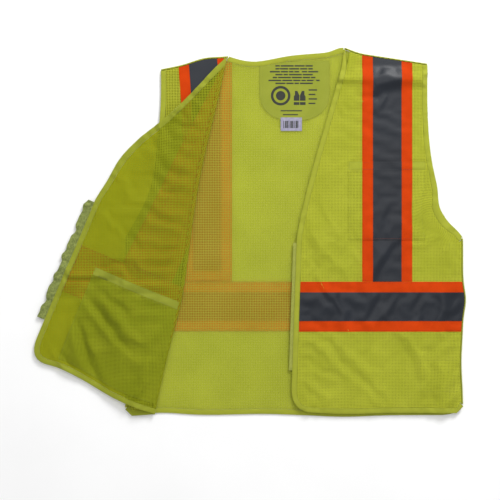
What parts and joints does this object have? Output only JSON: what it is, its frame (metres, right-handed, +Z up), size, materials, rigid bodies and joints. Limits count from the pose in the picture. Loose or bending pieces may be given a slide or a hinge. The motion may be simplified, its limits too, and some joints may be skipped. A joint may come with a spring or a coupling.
{
  "type": "high visibility vest",
  "caption": "Sleeveless mesh safety vest laid flat with its right front folded open: reflective tape on orange backing, hook and loop front, chest and inner pockets.",
  "frame": {"origin": "centre of the outer face of the back's reflective waist tape, which lies on the floor", "axes": "+X towards the wearer's left, +Y towards the neck, +Z up from the floor through the vest"},
  "size_m": [0.7675, 0.652, 0.0124],
  "materials": {
    "mesh": "matte yellow-green polyester mesh",
    "binding": "matte yellow-green woven binding and hems",
    "orange": "matte orange woven backing",
    "silver": "grey reflective tape",
    "closure": "hook and loop tape",
    "label": "woven lining patch",
    "sticker": "paper sticker"
  },
  "bodies": {
    "vest_body": {"back_hem_binding": "binding", "back_left_armhole_binding": "binding", "back_left_tape_orange": "orange", "back_left_tape_silver": "silver", "back_neck_binding": "binding", "back_panel": "mesh", "back_right_armhole_binding": "binding", "back_right_tape_orange": "orange", "back_right_tape_silver": "silver", "back_waist_tape_orange": "orange", "back_waist_tape_silver": "silver", "chest_pocket": "mesh", "chest_pocket_hem": "binding", "chest_pocket_tape_orange": "orange", "chest_pocket_tape_silver": "silver", "left_armhole_binding": "binding", "left_hem_binding": "binding", "left_shoulder_seam": "binding", "left_shoulder_tape_orange": "orange", "left_shoulder_tape_silver": "silver", "left_side_panel": "mesh", "left_side_seam": "binding", "left_waist_side_tape_orange": "orange", "left_waist_side_tape_silver": "silver", "neck_label": "label", "right_armhole_binding": "binding", "right_hem_binding": "binding", "right_shoulder_seam": "binding", "right_shoulder_tape_orange": "orange", "right_shoulder_tape_silver": "silver", "right_side_panel": "mesh", "right_side_seam": "binding", "right_waist_side_tape_orange": "orange", "right_waist_side_tape_silver": "silver", "side_label": "label", "size_sticker": "sticker"},
    "left_front": {"hook_strip": "closure", "left_front_binding": "binding", "left_front_panel": "mesh", "left_waist_front_tape_orange": "orange", "left_waist_front_tape_silver": "silver"},
    "right_front": {"inner_pocket": "mesh", "inner_pocket_hem": "binding", "loop_strip": "closure", "right_front_binding": "binding", "right_front_panel": "mesh", "right_front_tape_orange": "orange", "right_front_tape_silver": "silver", "right_waist_front_tape_orange": "orange", "right_waist_front_tape_silver": "silver"}
  },
  "joints": [
    {"name": "left_front_swing", "type": "hinge", "parent": "vest_body", "child": "left_front", "pos_m": [0.094, 0, 0.01268], "axis": [0, 1, 0], "range_deg": [0, 180]},
    {"name": "right_front_swing", "type": "hinge", "parent": "vest_body", "child": "right_front", "pos_m": [-0.118, 0.447, 0.00755], "axis": [0.1994, 0.9799, 0], "range_deg": [0, 180]}
  ]
}
